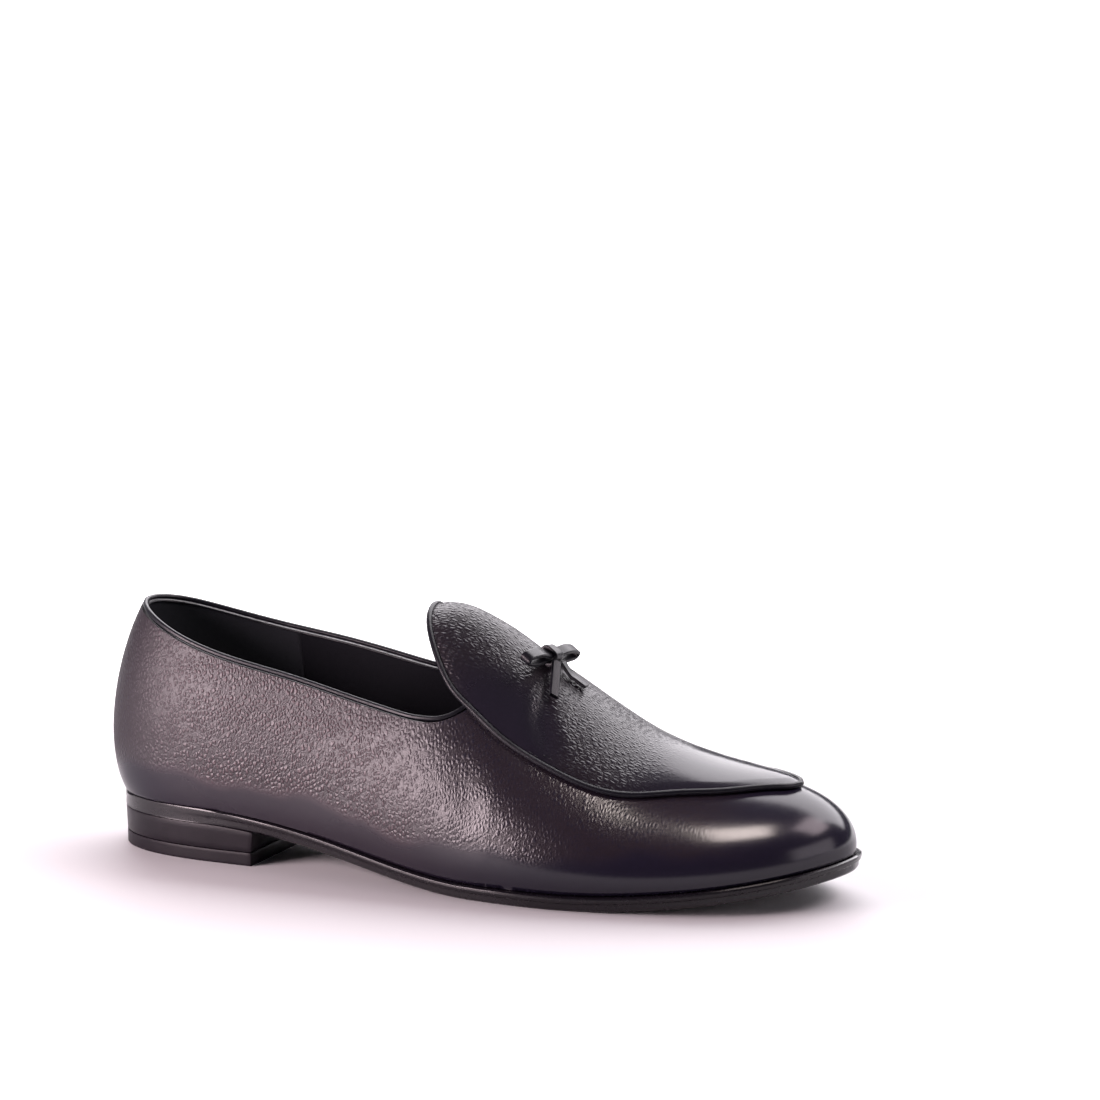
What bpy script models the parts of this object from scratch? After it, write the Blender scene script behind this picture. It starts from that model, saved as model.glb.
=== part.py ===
"""Belgian loafer, right shoe: a slip-on dress shoe built as its maker's separate pieces.

The shoe stands on its sole with the toe towards +X, the inner (medial) side towards +Y and +Z up.
Tables and sizes are in millimetres measured on the last, from the back of the heel and the floor;
MM turns them into metres. The last's own function gives every curved piece: each rib is one curve
from the edge of the sole up to the ridge of the instep, and the upper, apron, piping and binding
are all cut or offset from those ribs.
"""

from collections import namedtuple

import bmesh
import bpy
import numpy as np

MM = 0.001
GAP = 0.3
LATERAL = -1
MEDIAL = 1

Spot = namedtuple("Spot", "along across")
Rib = namedtuple("Rib", "along side_pull flare top_pull")
Ridge = namedtuple("Ridge", "along height across")
Topline = namedtuple("Topline", "along lateral medial")
Reach = namedtuple("Reach", "along lateral medial")
Edge = namedtuple("Edge", "inset drop")
Tail = namedtuple("Tail", "name heading across")
Finish = namedtuple("Finish", "name colour roughness")

# Outsole
SOLE_THICK = 5.4
HEEL_SEAT = 14.6
SHANK_START = 50.0
TREAD_START = 167.0
TREAD_END = 194.0
TOE_SPRING = 12.0
SOLE_STATIONS = 34
# Plan of the sole's edge, from the back of the heel along the outer side, round the toe and back.
SOLE_PLAN = (
    Spot(2.8, 0.0),
    Spot(11.5, -20.5),
    Spot(30.0, -31.0),
    Spot(60.0, -35.0),
    Spot(104.0, -37.3),
    Spot(150.0, -46.5),
    Spot(198.0, -51.3),
    Spot(240.0, -44.0),
    Spot(278.0, -26.5),
    Spot(297.0, 5.0),
    Spot(286.0, 28.5),
    Spot(252.0, 43.5),
    Spot(215.0, 48.5),
    Spot(168.0, 38.0),
    Spot(118.0, 28.5),
    Spot(64.0, 31.5),
    Spot(32.0, 29.0),
    Spot(11.5, 19.5),
)
# Side of the sole from its top edge down: a rounded bead over a set-back lower step.
SOLE_EDGE = (
    Edge(0.9, 0.0),
    Edge(0.1, 0.5),
    Edge(0.0, 1.3),
    Edge(0.3, 2.3),
    Edge(1.0, 2.7),
    Edge(1.2, 4.9),
    Edge(1.7, SOLE_THICK),
)

# Heel
BREAST_ALONG = 71.0
BREAST_SLANT = 1.0
TOP_LIFT = 5.0
HEEL_INSET = 1.3
LIFT_INSET = 1.7
HEEL_STATIONS = 12

# Last
FEATHER_INSET_HEEL = 1.2
FEATHER_INSET_TOE = 2.1
FEATHER_BLEND = (70.0, 150.0)
RIDGE_BACK = 44.0
RIDGE_FRONT = 262.0
RIBS = (
    Rib(4.0, 0.31, 30.0, 0.86),
    Rib(25.0, 0.34, 21.0, 0.77),
    Rib(60.0, 0.35, 13.0, 0.72),
    Rib(120.0, 0.36, 12.0, 0.60),
    Rib(150.0, 0.36, 14.0, 0.50),
    Rib(185.0, 0.37, 16.0, 0.42),
    Rib(215.0, 0.40, 17.0, 0.42),
    Rib(245.0, 0.46, 15.0, 0.46),
    Rib(275.0, 0.53, 11.0, 0.54),
    Rib(298.0, 0.56, 6.0, 0.58),
)
# Ridge of the instep, on the upper's outer face. Behind the throat it is the line the tongue keeps.
RIDGE = (
    Ridge(44.0, 114.0, 0.0),
    Ridge(66.0, 109.5, 0.5),
    Ridge(90.0, 104.5, 1.0),
    Ridge(115.0, 99.5, 1.5),
    Ridge(131.0, 96.6, 2.0),
    Ridge(142.0, 96.6, 2.5),
    Ridge(150.0, 94.2, 2.5),
    Ridge(160.0, 89.2, 3.0),
    Ridge(171.4, 82.0, 3.0),
    Ridge(188.0, 71.5, 3.5),
    Ridge(200.0, 63.8, 3.5),
    Ridge(211.0, 57.2, 4.0),
    Ridge(225.0, 51.4, 4.0),
    Ridge(245.0, 46.3, 4.5),
    Ridge(262.0, 43.5, 5.0),
)

# Upper
WALL = 2.0
LASTING_MARGIN = 9.0
BACK_RIBS = 18
THROAT_RIBS = 5
FRONT_RIBS = 19
RIB_ROWS = 12
TOPLINE = (
    Topline(0.0, 94.0, 94.0),
    Topline(11.0, 91.0, 91.0),
    Topline(30.0, 84.0, 85.8),
    Topline(59.0, 75.8, 79.9),
    Topline(86.0, 70.6, 76.5),
    Topline(107.0, 66.0, 73.2),
    Topline(127.0, 62.2, 69.5),
    Topline(140.0, 60.9, 67.3),
    Topline(153.0, 62.0, 66.0),
    Topline(180.0, 64.5, 66.0),
)
# Stretch of the ridge over which the collar climbs to the throat, under the apron.
THROAT_START = 150.0
THROAT_END = 171.0
BINDING_RADIUS = 1.0
BINDING_CLEAR = 0.6
BINDING_POINTS = 72

# Apron and its tongue
APRON_THICK = 1.8
APRON_LIFT = 0.5
TONGUE_TOP = 133.0
TONGUE_ROUND = 24.0
TONGUE_FULLNESS = 2.3
STRAIGHT_ROWS = (152.0, 180.0)
TONGUE_TRIM = 1.4
# Distance in plan from the ridge out to the apron's seam, along each rib.
APRON_REACH = (
    Reach(136.0, 22.5, 22.5),
    Reach(150.0, 27.5, 26.5),
    Reach(160.0, 30.5, 29.0),
    Reach(172.0, 34.0, 32.0),
    Reach(185.0, 36.5, 33.5),
    Reach(197.0, 37.0, 33.0),
    Reach(210.0, 34.5, 30.0),
    Reach(225.0, 28.0, 25.0),
    Reach(240.0, 22.0, 20.0),
    Reach(252.0, 15.5, 15.0),
    Reach(262.0, 11.0, 11.0),
)
APRON_ROUND_STEPS = 6
APRON_LONG_STEPS = 19
APRON_ROWS = 5
PIPING_RADIUS = 1.1
PIPING_CLEAR = 0.5
PIPING_POINTS = 84

# Insole
INSOLE_THICK = 2.5
INSOLE_CLEAR = 0.8
INSOLE_EDGE = 0.6

# Bow: a flat thong in two open loops, held by a knot, with two short tails
BOW_ALONG = 177.5
BOW_ACROSS = -3.0
BOW_TURN = 12.0
BOW_HALF_SPAN = 17.0
BOW_LOOP_HEIGHT = 5.0
BOW_WAIST_HEIGHT = 2.2
BOW_WAIST_SPAN = 3.0
BOW_POINTS = 44
THONG_WIDTH = 4.4
THONG_THICK = 1.2
LOOP_BLUNT = 0.6
LOOP_SWELL = 0.6
KNOT_WIDTH = 4.6
KNOT_CLEAR = 0.4
KNOT_SQUARE = 0.5
KNOT_POINTS = 20
TAIL_ROOT = 4.8
TAIL_LENGTH = 11.0
TAIL_WIDTH = 3.6
TAIL_DROP = 7.0
TAIL_STEPS = 6
TAILS = (
    Tail("bow_tail_outer", -58.0, -2.2),
    Tail("bow_tail_front", 12.0, 2.4),
)

# Finishes, with linear colours
SHARP_ANGLE = 40.0
FINISHES = (
    Finish("upper", (0.035, 0.026, 0.036), 0.34),
    Finish("apron", (0.027, 0.024, 0.034), 0.38),
    Finish("apron_piping", (0.012, 0.012, 0.016), 0.40),
    Finish("collar_binding", (0.012, 0.012, 0.016), 0.40),
    Finish("bow_loops", (0.018, 0.018, 0.022), 0.42),
    Finish("bow_knot", (0.018, 0.018, 0.022), 0.42),
    Finish("bow_tail_outer", (0.018, 0.018, 0.022), 0.42),
    Finish("bow_tail_front", (0.018, 0.018, 0.022), 0.42),
    Finish("insole", (0.010, 0.011, 0.016), 0.60),
    Finish("outsole", (0.012, 0.010, 0.014), 0.25),
    Finish("heel_stack", (0.010, 0.009, 0.011), 0.38),
    Finish("top_lift", (0.009, 0.009, 0.010), 0.60),
)

# How finely curves are read where a place on them is looked up
DENSE = 720
KNOT_SPLITS = 40
RIM_POINTS = 160
SEAM_ROUND_STEPS = 30
SEAM_LONG_STEPS = 90
SEARCH_STEPS = 5
# Part of a rib that the bow may lie over
VAMP_LOW_SHARE = 0.3
# Shares of a rib between which its outward direction is read
NORMAL_STEP = 0.002
RIDGE_SHARE = 0.995
# Distances within which doubled points are made one, in metres
WELD = 1e-6
APRON_WELD = 2e-5


def spline(knots, values, at):
    """Natural cubic spline through values at knots, read at the given places, straight beyond the ends."""
    knots = np.asarray(knots, float)
    values = np.asarray(values, float)
    at = np.asarray(at, float)
    count = len(knots)
    step = np.diff(knots)
    matrix = np.eye(count)
    right = np.zeros(count)
    for i in range(1, count - 1):
        matrix[i, i - 1] = step[i - 1]
        matrix[i, i] = 2 * (step[i - 1] + step[i])
        matrix[i, i + 1] = step[i]
        rise = (values[i + 1] - values[i]) / step[i]
        run = (values[i] - values[i - 1]) / step[i - 1]
        right[i] = 6 * (rise - run)
    bend = np.linalg.solve(matrix, right)
    inside = np.clip(at, knots[0], knots[-1])
    i = np.clip(np.searchsorted(knots, inside, side="right") - 1, 0, count - 2)
    h = step[i]
    a = (knots[i + 1] - inside) / h
    b = (inside - knots[i]) / h
    curve = a * values[i] + b * values[i + 1]
    curve += ((a**3 - a) * bend[i] + (b**3 - b) * bend[i + 1]) * h**2 / 6
    first = (values[1] - values[0]) / step[0] - step[0] * bend[1] / 6
    last = (values[-1] - values[-2]) / step[-1] + step[-1] * bend[-2] / 6
    return curve + np.minimum(at - knots[0], 0) * first + np.maximum(at - knots[-1], 0) * last


def column(table, name, at, key="along"):
    """One named column of a table, interpolated at the given places along the shoe."""
    return spline([getattr(row, key) for row in table], [getattr(row, name) for row in table], at)


def closed_spline(points, count):
    """Evenly spaced points on the smooth closed curve through the given ones."""
    points = np.asarray(points, float)
    size = len(points)
    chord = np.linalg.norm(np.roll(points, -1, axis=0) - points, axis=1)
    matrix = np.zeros((size, size))
    right = np.zeros(points.shape)
    for i in range(size):
        before, after = chord[i - 1], chord[i]
        matrix[i, i - 1] += before
        matrix[i, i] += 2 * (before + after)
        matrix[i, (i + 1) % size] += after
        rise = (points[(i + 1) % size] - points[i]) / after
        run = (points[i] - points[i - 1]) / before
        right[i] = 6 * (rise - run)
    bend = np.linalg.solve(matrix, right)
    curve = []
    for i in range(size):
        j = (i + 1) % size
        b = np.arange(KNOT_SPLITS)[:, None] / KNOT_SPLITS
        a = 1 - b
        piece = a * points[i] + b * points[j]
        piece += ((a**3 - a) * bend[i] + (b**3 - b) * bend[j]) * chord[i] ** 2 / 6
        curve.append(piece)
    return resample(np.vstack(curve), count, closed=True)


def resample(points, count, closed=False):
    """The same polyline with its points evenly spaced."""
    points = np.asarray(points, float)
    if closed:
        points = np.vstack([points, points[:1]])
    length = np.concatenate([[0], np.cumsum(np.linalg.norm(np.diff(points, axis=0), axis=1))])
    places = np.linspace(0, length[-1], count + closed)[: count]
    return np.stack([np.interp(places, length, points[:, k]) for k in range(points.shape[1])], axis=1)


def unit(vectors):
    vectors = np.asarray(vectors, float)
    return vectors / np.linalg.norm(vectors, axis=-1, keepdims=True)


def smooth_step(value, low, high):
    share = np.clip((np.asarray(value, float) - low) / (high - low), 0, 1)
    return share * share * (3 - 2 * share)


def sole_bottom(along):
    """Height of the sole's underside: heel seat, shank, flat tread and toe spring."""
    along = np.asarray(along, float)
    front = max(spot.along for spot in SOLE_PLAN)
    seat = HEEL_SEAT * (1 - smooth_step(along, SHANK_START, TREAD_START))
    spring = TOE_SPRING * (np.maximum(along - TREAD_END, 0) / (front - TREAD_END)) ** 2
    return seat + spring


def sole_top(along):
    return sole_bottom(along) + SOLE_THICK


class Plan:
    """The sole's outline split at the heel and the toe into an outer and an inner half."""

    def __init__(self):
        outline = closed_spline(SOLE_PLAN, DENSE)
        toe = int(np.argmax(outline[:, 0]))
        self.halves = {
            LATERAL: outline[: toe + 1],
            MEDIAL: np.vstack([outline[:1], outline[:toe - 1:-1]]),
        }
        self.lengths = {
            side: np.concatenate([[0], np.cumsum(np.linalg.norm(np.diff(half, axis=0), axis=1))])
            for side, half in self.halves.items()
        }

    def place(self, side, length):
        half, lengths = self.halves[side], self.lengths[side]
        return np.array([np.interp(length, lengths, half[:, 0]), np.interp(length, lengths, half[:, 1])])

    def at(self, side, share, inset=0.0):
        """Point at a share of the way from heel to toe, moved in from the edge by the inset."""
        total = self.lengths[side][-1]
        length = np.clip(share, 0, 1) * total
        point = self.place(side, length)
        if inset == 0:
            return point
        reach = total / DENSE * 4
        tangent = self.place(side, length + reach) - self.place(side, length - reach)
        if length < reach:
            tangent = np.array([0.0, side])
        elif length > total - reach:
            tangent = np.array([0.0, -side])
        inward = unit(np.array([tangent[1], -tangent[0]]) * side)
        return point + inward * inset


PLAN = Plan()


def feather_inset(along):
    """How far inside the sole's edge the upper meets it."""
    blend = smooth_step(along, *FEATHER_BLEND)
    return FEATHER_INSET_HEEL + (FEATHER_INSET_TOE - FEATHER_INSET_HEEL) * blend


def feather(side, share):
    """Where the upper's outer face meets the sole."""
    edge = PLAN.at(side, share)
    point = PLAN.at(side, share, feather_inset(edge[0]))
    return np.array([point[0], point[1], sole_top(point[0]) + GAP])


def ridge_along(share):
    """Place along the ridge that the ribs of both sides run up to."""
    mean = (PLAN.at(LATERAL, share)[0] + PLAN.at(MEDIAL, share)[0]) / 2
    back, front = PLAN.at(LATERAL, 0)[0], PLAN.at(LATERAL, 1)[0]
    return RIDGE_BACK + (RIDGE_FRONT - RIDGE_BACK) * (mean - back) / (front - back)


def ridge(along):
    return np.array([along, column(RIDGE, "across", along), column(RIDGE, "height", along)])


RIDGE_SHARES = np.linspace(0, 1, DENSE + 1)
RIDGE_PLACES = np.array([ridge_along(share) for share in RIDGE_SHARES])


def share_of_ridge(along):
    """Share along the shoe of the ribs that end at one place on the ridge."""
    return float(np.interp(along, RIDGE_PLACES, RIDGE_SHARES))


def rib(side, share):
    """Four control points of the curve from the feather edge up to the ridge."""
    start = feather(side, share)
    along = ridge_along(share)
    top = ridge(along)
    inward = unit((top - start)[:2])
    run = np.linalg.norm((top - start)[:2])
    slope = (ridge(along + 1)[2] - ridge(along - 1)[2]) / 2
    flare = np.radians(column(RIBS, "flare", start[0]))
    pull = column(RIBS, "side_pull", start[0]) * (top[2] - start[2])
    out = np.array([-inward[0] * np.sin(flare), -inward[1] * np.sin(flare), np.cos(flare)])
    arrive = np.array([inward[0], inward[1], slope * inward[0]])
    reach = column(RIBS, "top_pull", start[0]) * run
    return np.array([start, start + out * pull, top - arrive * reach, top])


def on_rib(control, share):
    t = np.asarray(share, float)[..., None]
    u = 1 - t
    return u**3 * control[0] + 3 * u * u * t * control[1] + 3 * u * t * t * control[2] + t**3 * control[3]


def face_normal(side, share, height):
    """Outward direction of the last at one place."""
    low, high = max(share - NORMAL_STEP, 0), min(share + NORMAL_STEP, 1)
    along = on_rib(rib(side, high), height) - on_rib(rib(side, low), height)
    control = rib(side, share)
    up = on_rib(control, min(height + NORMAL_STEP, 1)) - on_rib(control, max(height - NORMAL_STEP, 0))
    return unit(np.cross(up, along) * side)


def topline_height(side, along):
    return column(TOPLINE, "lateral" if side == LATERAL else "medial", along)


def topline_share(side, share):
    """How far up a rib the collar cuts it, and 1 where it runs on to the ridge."""
    climb = np.clip((ridge_along(share) - THROAT_START) / (THROAT_END - THROAT_START), 0, 1)
    heights = np.linspace(0, 1, DENSE + 1)
    points = on_rib(rib(side, share), heights)
    over = points[:, 2] - topline_height(side, points[:, 0])
    i = max(int(np.argmax(over > 0)), 1)
    level = float(np.interp(0, over[i - 1 : i + 1], heights[i - 1 : i + 1]))
    return level + (1 - level) * (1 - np.sqrt(1 - climb**2))


def throat_share():
    """Share along the shoe of the ribs that meet at the collar's front end."""
    return share_of_ridge(THROAT_END)


def apron_height(side, share, reach):
    """How far up a rib the apron's seam lies, for a distance in plan from the ridge."""
    heights = np.linspace(0, 1, DENSE + 1)
    control = rib(side, share)
    points = on_rib(control, heights)
    far = np.linalg.norm(points[:, :2] - control[3][:2], axis=1)
    first = int(np.argmax(far))
    return float(np.interp(-reach, -far[first:], heights[first:]))


def new_mesh_object(name, points, faces, collection, weld=WELD):
    """A mesh object from points in millimetres, with doubled points made one."""
    mesh = bpy.data.meshes.new(name)
    mesh.from_pydata([tuple(p * MM) for p in np.asarray(points)], [], faces)
    bm = bmesh.new()
    bm.from_mesh(mesh)
    bmesh.ops.remove_doubles(bm, verts=bm.verts, dist=weld)
    bmesh.ops.dissolve_degenerate(bm, dist=weld, edges=bm.edges)
    bm.normal_update()
    bm.to_mesh(mesh)
    bm.free()
    obj = bpy.data.objects.new(name, mesh)
    collection.objects.link(obj)
    return obj


def loft(rows, closed_around=False, closed_along=False):
    """Points and four-sided faces between rows that all have the same number of points."""
    rows = [np.asarray(row, float) for row in rows]
    wide = len(rows[0])
    points = np.vstack(rows)
    faces = []
    for i in range(len(rows) if closed_along else len(rows) - 1):
        low, high = i * wide, (i + 1) % len(rows) * wide
        for j in range(wide if closed_around else wide - 1):
            k = (j + 1) % wide
            faces.append((low + j, low + k, high + k, high + j))
    return points, faces


def upper_rib(side, share):
    """One rib of the upper's outer face: turned under the insole, up the side and to the collar."""
    control = rib(side, share)
    inward = unit((control[3] - control[0])[:2])
    turned = control[0][:2] + inward * LASTING_MARGIN
    under = np.array([turned[0], turned[1], sole_top(turned[0]) + GAP])
    end = topline_share(side, share)
    return np.vstack([under, on_rib(control, np.linspace(0, end, RIB_ROWS + 1))])


def rib_shares():
    """Stations of the ribs: even behind and before the throat, closing up to its curve."""
    start, throat = share_of_ridge(THROAT_START), throat_share()
    climb = np.sin(np.linspace(0, np.pi / 2, THROAT_RIBS + 1))
    behind = np.linspace(0, start, BACK_RIBS + 1)
    before = np.linspace(throat, 1, FRONT_RIBS + 1)
    return np.concatenate([behind[:-1], start + (throat - start) * climb, before[1:]])


def build_upper(collection):
    shares = rib_shares()
    ribs = [upper_rib(LATERAL, s) for s in shares]
    ribs += [upper_rib(MEDIAL, s) for s in shares[-2:0:-1]]
    points, faces = loft(ribs, closed_along=True)
    faces = [face[::-1] for face in faces]
    upper = new_mesh_object("upper", points, faces, collection)
    add_wall(upper, WALL, outward=False)
    return upper


def add_wall(obj, thickness, outward):
    wall = obj.modifiers.new("wall", "SOLIDIFY")
    wall.thickness = thickness * MM
    wall.offset = 1 if outward else -1
    wall.use_quality_normals = True


def topline_curve():
    """The collar's rim on the outer face, all round, with the outward direction at each point."""
    throat = throat_share()
    shares = np.linspace(0, throat, RIM_POINTS)
    rim = []
    for side, run in ((LATERAL, shares), (MEDIAL, shares[-2:0:-1])):
        for share in run:
            height = topline_share(side, share)
            point = on_rib(rib(side, share), height)
            rim.append(np.concatenate([point, face_normal(side, share, min(height, RIDGE_SHARE))]))
    return np.array(rim)


def build_binding(collection):
    """Rolled binding seated on the collar's rim."""
    rim = resample(topline_curve(), BINDING_POINTS, closed=True)
    normal = unit(rim[:, 3:])
    middle = rim[:, :3] - normal * WALL / 2
    tangent = unit(np.roll(middle, -1, axis=0) - np.roll(middle, 1, axis=0))
    up = unit(np.cross(normal, tangent))
    path = middle + up * (BINDING_RADIUS + BINDING_CLEAR)
    return cord("collar_binding", path, BINDING_RADIUS, collection, closed=True)


def cord(name, path, radius, collection, closed=False):
    """A round cord along a path, as a mesh."""
    data = bpy.data.curves.new(name, "CURVE")
    data.dimensions = "3D"
    data.bevel_depth = radius * MM
    data.bevel_resolution = 2
    data.use_fill_caps = True
    line = data.splines.new("POLY")
    line.points.add(len(path) - 1)
    line.use_cyclic_u = closed
    for point, place in zip(line.points, path):
        point.co = (*(place * MM), 1)
    obj = bpy.data.objects.new(name, data)
    collection.objects.link(obj)
    return obj


def apron_stations(round_steps, long_steps, trim=0.0):
    """Places along the ridge that carry the apron, and how wide it is there: round at the top."""
    turn = np.linspace(0, np.pi / 2, round_steps + 1)[:-1]
    power = 2 / TONGUE_FULLNESS
    widest = TONGUE_TOP + TONGUE_ROUND
    rounded = widest - (TONGUE_ROUND - trim) * np.cos(turn) ** power
    along = np.concatenate([rounded, np.linspace(widest, RIDGE_FRONT, long_steps + 1)])
    fullness = np.concatenate([np.sin(turn) ** power, np.ones(long_steps + 1)])
    return list(zip(along, fullness))


def apron_edge(side, along, full):
    """How far up its rib the apron's seam lies."""
    reach = column(APRON_REACH, "lateral" if side == LATERAL else "medial", along)
    return apron_height(side, share_of_ridge(along), reach * full)


def row_share(side, along, height):
    """Share of the rib that a row of the apron crosses: straight across at the tongue, with the ribs ahead."""
    straight = 1 - smooth_step(along, *STRAIGHT_ROWS)
    own = on_rib(rib(side, share_of_ridge(along)), height)[0]
    wanted = own + (along - own) * straight
    place = along
    for _ in range(SEARCH_STEPS):
        place += wanted - on_rib(rib(side, share_of_ridge(place)), height)[0]
    return share_of_ridge(place)


def apron_point(side, along, height):
    share = row_share(side, along, height)
    return on_rib(rib(side, share), height)


def build_apron(collection):
    """Apron and tongue: a sheet over the vamp from the toe seam back to the free top."""
    rows = []
    for along, full in apron_stations(APRON_ROUND_STEPS, APRON_LONG_STEPS, TONGUE_TRIM):
        row = []
        for side in (LATERAL, MEDIAL):
            heights = np.linspace(apron_edge(side, along, full), 1, APRON_ROWS + 1)
            points = np.array([apron_point(side, along, height) for height in heights])
            row.append(points if side == LATERAL else points[-2::-1])
        rows.append(np.vstack(row))
    points, faces = loft(rows)
    faces = [face[::-1] for face in faces]
    apron = new_mesh_object("apron", points, faces, collection, weld=APRON_WELD)
    lift_off(apron, APRON_LIFT)
    add_wall(apron, APRON_THICK, outward=True)
    return apron


def lift_off(obj, distance):
    """Moves every point of an open sheet out along its own normal."""
    bm = bmesh.new()
    bm.from_mesh(obj.data)
    bm.normal_update()
    moves = [(vert, vert.normal * distance * MM) for vert in bm.verts]
    for vert, move in moves:
        vert.co += move
    bm.to_mesh(obj.data)
    bm.free()


def seam_curve():
    """The apron's seam all round with the outward direction, from the tongue's top by the outer side."""
    stations = apron_stations(SEAM_ROUND_STEPS, SEAM_LONG_STEPS)
    seam = []
    for side, run in ((LATERAL, stations), (MEDIAL, stations[-2:0:-1])):
        for along, full in run:
            height = apron_edge(side, along, full)
            share = row_share(side, along, height)
            point = on_rib(rib(side, share), height)
            seam.append(np.concatenate([point, face_normal(side, share, min(height, RIDGE_SHARE))]))
    return np.array(seam)


def build_piping(collection):
    """Cord sewn round the apron's edge."""
    seam = resample(seam_curve(), PIPING_POINTS, closed=True)
    normal = unit(seam[:, 3:])
    tangent = unit(np.roll(seam[:, :3], -1, axis=0) - np.roll(seam[:, :3], 1, axis=0))
    out = unit(np.cross(tangent, normal))
    path = seam[:, :3] + normal * (APRON_LIFT + PIPING_RADIUS) + out * (PIPING_CLEAR + PIPING_RADIUS)
    return cord("apron_piping", path, PIPING_RADIUS, collection, closed=True)


def slab(name, rings, collection):
    """A solid from rings of paired stations, top ring first, capped by strips from side to side."""
    points, faces = loft(rings, closed_around=True)
    count = len(rings[0])
    last = (len(rings) - 1) * count
    half = count // 2
    for i in range(half):
        left, left_next = i, i + 1
        right, right_next = (count - i) % count, count - i - 1
        face = [left, left_next, right_next, right]
        top = [k for n, k in enumerate(face) if k not in face[:n]]
        faces.append(tuple(top))
        faces.append(tuple(last + k for k in reversed(top)))
    faces = [f if n >= (len(rings) - 1) * count else f[::-1] for n, f in enumerate(faces)]
    return new_mesh_object(name, points, faces, collection)


def outline_ring(stations, inset, height):
    """Ring of points inside the sole's edge: outer side from heel to toe, inner side back."""
    ring = []
    for side, run in ((LATERAL, stations), (MEDIAL, stations[-2:0:-1])):
        for share in run:
            x, y = PLAN.at(side, share, inset)
            ring.append((x, y, height(x)))
    return np.array(ring)


def build_outsole(collection):
    stations = np.linspace(0, 1, SOLE_STATIONS + 1)
    rings = [
        outline_ring(stations, edge.inset, lambda x, drop=edge.drop: sole_top(x) - drop)
        for edge in SOLE_EDGE
    ]
    return slab("outsole", rings, collection)


def build_insole(collection):
    stations = np.linspace(0, 1, SOLE_STATIONS + 1)
    base = WALL + GAP + GAP
    top = base + INSOLE_THICK
    rings = []
    for extra, rise in ((INSOLE_EDGE, top), (0.0, top - INSOLE_EDGE), (0.0, base)):
        ring = []
        for side, run in ((LATERAL, stations), (MEDIAL, stations[-2:0:-1])):
            for share in run:
                edge = PLAN.at(side, share)
                x, y = PLAN.at(side, share, feather_inset(edge[0]) + WALL + INSOLE_CLEAR + extra)
                ring.append((x, y, sole_top(x) + rise))
        rings.append(np.array(ring))
    return slab("insole", rings, collection)


def share_at(side, along):
    """Share of the way round one half of the sole's edge at a place along the shoe, behind the toe."""
    half, lengths = PLAN.halves[side], PLAN.lengths[side]
    front = int(np.argmax(half[:, 0]))
    return float(np.interp(along, half[:front, 0], lengths[:front] / lengths[-1]))


def heel_ring(inset, breast, height):
    """Ring round the heel, straight across at the breast."""
    ring = []
    for side in (LATERAL, MEDIAL):
        run = np.linspace(0, share_at(side, breast), HEEL_STATIONS + 1)
        half = [PLAN.at(side, share, inset) for share in run]
        half[-1][0] = breast
        ring += half if side == LATERAL else half[-1:0:-1]
    return np.array([(x, y, height(x)) for x, y in ring])


def build_heel(collection):
    """Stacked heel under the seat, and the top lift that meets the floor."""
    stack = [
        heel_ring(HEEL_INSET, BREAST_ALONG + BREAST_SLANT, lambda x: sole_bottom(x) - GAP),
        heel_ring(LIFT_INSET, BREAST_ALONG, lambda x: TOP_LIFT + GAP),
    ]
    heel_slab("heel_stack", stack, collection)
    lift = [
        heel_ring(LIFT_INSET, BREAST_ALONG, lambda x: TOP_LIFT),
        heel_ring(LIFT_INSET, BREAST_ALONG, lambda x: 0.0),
    ]
    heel_slab("top_lift", lift, collection)


def heel_slab(name, rings, collection):
    """A heel layer: its ring has one more station on the outer side than pairs across."""
    points, faces = loft(rings, closed_around=True)
    faces = [face[::-1] for face in faces]
    count = len(rings[0])
    last = (len(rings) - 1) * count
    for i in range(count // 2):
        strip = [i, i + 1, count - 1 - i, (count - i) % count]
        top = [k for n, k in enumerate(strip) if k not in strip[:n]]
        faces.append(tuple(top))
        faces.append(tuple(last + k for k in reversed(top)))
    return new_mesh_object(name, points, faces, collection)


def vamp_height(along, across):
    """Height of the upper's outer face above a point of the plan, near the ridge."""
    side = LATERAL if across < ridge(along)[1] else MEDIAL
    ridge_place = along
    heights = np.linspace(VAMP_LOW_SHARE, 1, DENSE + 1)
    for _ in range(SEARCH_STEPS):
        points = on_rib(rib(side, share_of_ridge(ridge_place)), heights)[::-1]
        x = np.interp(side * across, side * points[:, 1], points[:, 0])
        z = np.interp(side * across, side * points[:, 1], points[:, 2])
        ridge_place += along - x
    return float(z)


def apron_top(along, across):
    """Height of the apron's outer face above a point of the plan."""
    height = vamp_height(along, across)
    lean = np.hypot(vamp_height(along + 1, across) - height, vamp_height(along, across - 1) - height)
    return height + (APRON_LIFT + APRON_THICK) * np.sqrt(1 + lean**2)


def bow_frame():
    """Seat of the bow on the ridge, with its directions across, forwards and out."""
    seat = np.array([BOW_ALONG, BOW_ACROSS, apron_top(BOW_ALONG, BOW_ACROSS)])
    before, after = ridge(BOW_ALONG - 2), ridge(BOW_ALONG + 2)
    ahead = unit(after - before)
    out = unit(np.cross(ahead, (0.0, 1.0, 0.0)))
    turn = np.radians(BOW_TURN)
    medial = np.cross(out, ahead)
    across = unit(medial * np.cos(turn) + ahead * np.sin(turn))
    forward = np.cross(across, out)
    return seat + out * GAP, across, forward, out


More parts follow.
